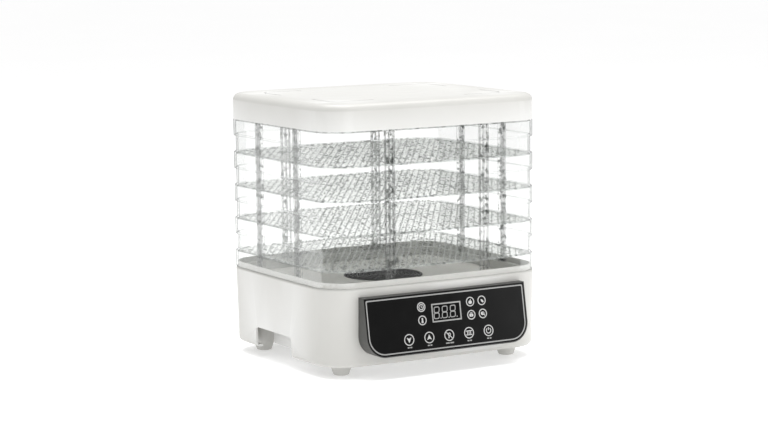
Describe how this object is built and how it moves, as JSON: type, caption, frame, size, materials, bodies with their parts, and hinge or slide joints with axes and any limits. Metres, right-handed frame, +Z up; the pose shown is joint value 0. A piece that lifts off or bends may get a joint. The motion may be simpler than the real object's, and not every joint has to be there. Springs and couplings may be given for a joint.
{
  "type": "food dehydrator",
  "caption": "Stacking food dehydrator: white base with fan, heater and leaning touch panel, clear mesh trays and a vented lid that lift off.",
  "frame": {"origin": "centre of the overall footprint, on the surface the feet stand on", "axes": "+Z up through the tray stack, -Y towards the user who faces the control panel, +X to that user's right"},
  "size_m": [0.3, 0.287, 0.3182],
  "materials": {
    "white_plastic": "smooth moulded, satin sheen",
    "clear_plastic": "clear, polished",
    "black_plastic": "fine moulded grain",
    "panel_gloss": "high gloss film",
    "display_face": "smoked",
    "pad_rubber": "matt",
    "gland_rubber": "matt",
    "zinc_sheet": "zinc plated sheet",
    "steel": "bright",
    "lamination": "stacked sheet",
    "bronze": "sintered",
    "copper_wire": "enamelled",
    "resistance_wire": "heat tinted",
    "mica": "layered sheet",
    "fuse_sleeve": "glass fibre sleeve",
    "circuit_board": "solder mask",
    "transformer_tape": "wound tape",
    "relay_case": "moulded",
    "terminal_green": "moulded",
    "capacitor_case": "sleeved can",
    "cable_sleeve": "flexible"
  },
  "bodies": {
    "base": {"air_duct": "zinc_sheet", "base_housing": "white_plastic", "board_cable": "cable_sleeve", "board_screws": "steel", "board_standoffs": "white_plastic", "bottom_cover": "white_plastic", "bracket_screws": "steel", "buzzer": "black_plastic", "capacitors": "capacitor_case", "control_bezel": "black_plastic", "control_board": "circuit_board", "control_overlay": "panel_gloss", "cord_gland": "gland_rubber", "cover_screws": "steel", "deck_plate": "white_plastic", "deck_screws": "steel", "display_module": "display_face", "duct_screws": "steel", "fan_guard": "black_plastic", "foot_front_left": "white_plastic", "foot_front_right": "white_plastic", "foot_pads": "pad_rubber", "foot_rear_left": "white_plastic", "foot_rear_right": "white_plastic", "foot_screws": "steel", "grip_walls": "white_plastic", "heater_coil": "resistance_wire", "heater_frame": "mica", "motor_bearings": "bronze", "motor_bracket": "zinc_sheet", "motor_can": "zinc_sheet", "motor_stator": "lamination", "motor_windings": "copper_wire", "power_board": "circuit_board", "relay": "relay_case", "temperature_probe": "black_plastic", "terminal_block": "terminal_green", "thermal_fuse": "fuse_sleeve", "thermostat": "steel", "touch_springs": "steel", "transformer": "transformer_tape"},
    "fan": {"fan_impeller": "black_plastic", "motor_shaft": "steel", "motor_rotor": "lamination", "impeller_nut": "steel"},
    "lid": {"lid": "white_plastic"},
    "tray_5": {"tray_5_frame": "clear_plastic", "tray_5_floor": "clear_plastic"},
    "tray_4": {"tray_4_frame": "clear_plastic", "tray_4_floor": "clear_plastic"},
    "tray_3": {"tray_3_frame": "clear_plastic", "tray_3_floor": "clear_plastic"},
    "tray_2": {"tray_2_frame": "clear_plastic", "tray_2_floor": "clear_plastic"},
    "tray_1": {"tray_1_frame": "clear_plastic", "tray_1_floor": "clear_plastic"}
  },
  "joints": [
    {"name": "fan_spin", "type": "hinge", "parent": "base", "child": "fan", "pos_m": [0, 0.00966, 0.06], "axis": [0, 0, 1], "continuous": true},
    {"name": "tray_5_lift", "type": "slide", "parent": "base", "child": "tray_5", "axis": [0, 0, 1], "range_m": [0, 0.06]},
    {"name": "tray_4_lift", "type": "slide", "parent": "tray_5", "child": "tray_4", "axis": [0, 0, 1], "range_m": [0, 0.06]},
    {"name": "tray_3_lift", "type": "slide", "parent": "tray_4", "child": "tray_3", "axis": [0, 0, 1], "range_m": [0, 0.06]},
    {"name": "tray_2_lift", "type": "slide", "parent": "tray_3", "child": "tray_2", "axis": [0, 0, 1], "range_m": [0, 0.06]},
    {"name": "tray_1_lift", "type": "slide", "parent": "tray_2", "child": "tray_1", "axis": [0, 0, 1], "range_m": [0, 0.06]},
    {"name": "lid_lift", "type": "slide", "parent": "tray_1", "child": "lid", "axis": [0, 0, 1], "range_m": [0, 0.06]}
  ]
}
